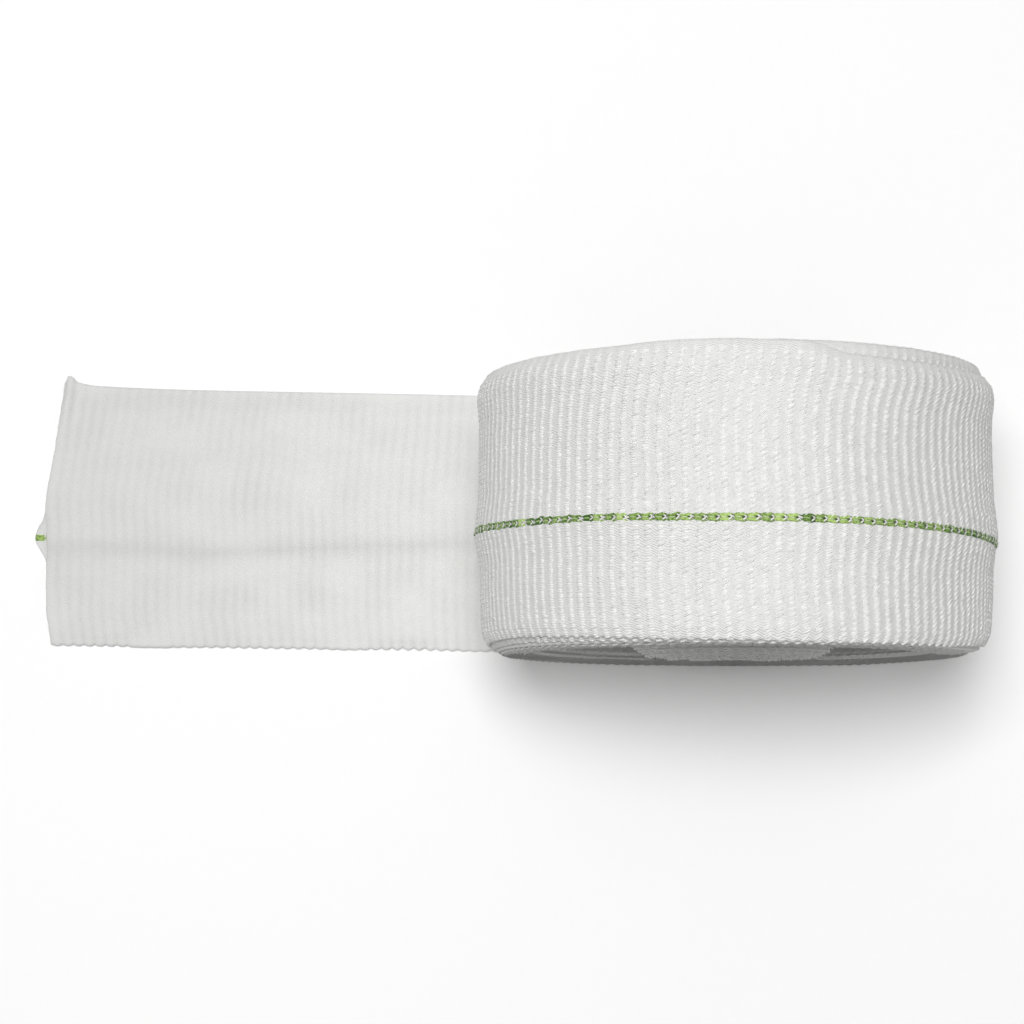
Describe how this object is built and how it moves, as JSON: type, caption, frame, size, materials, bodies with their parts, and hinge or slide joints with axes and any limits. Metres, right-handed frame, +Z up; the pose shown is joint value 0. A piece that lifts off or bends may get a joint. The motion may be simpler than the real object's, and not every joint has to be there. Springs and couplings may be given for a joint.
{
  "type": "tubular bandage roll",
  "caption": "Ribbed knitted tube bandage wound flat into a roll that lies on its winding, with its free end laid out on the floor.",
  "frame": {"origin": "on the floor, under the roll's axis and midway along it", "axes": "+Z up; Y along the roll's axis; the free end points to -X"},
  "size_m": [0.1772, 0.0566, 0.091],
  "materials": {
    "roll_knit": "matte ribbed cotton knit, off-white",
    "end_knit": "matte ribbed cotton knit, off-white, inner side up",
    "marker_yarn": "matte green yarn in one knitted wale"
  },
  "bodies": {
    "root": {"wound_roll": "roll_knit", "loose_end": "end_knit"}
  },
  "joints": []
}
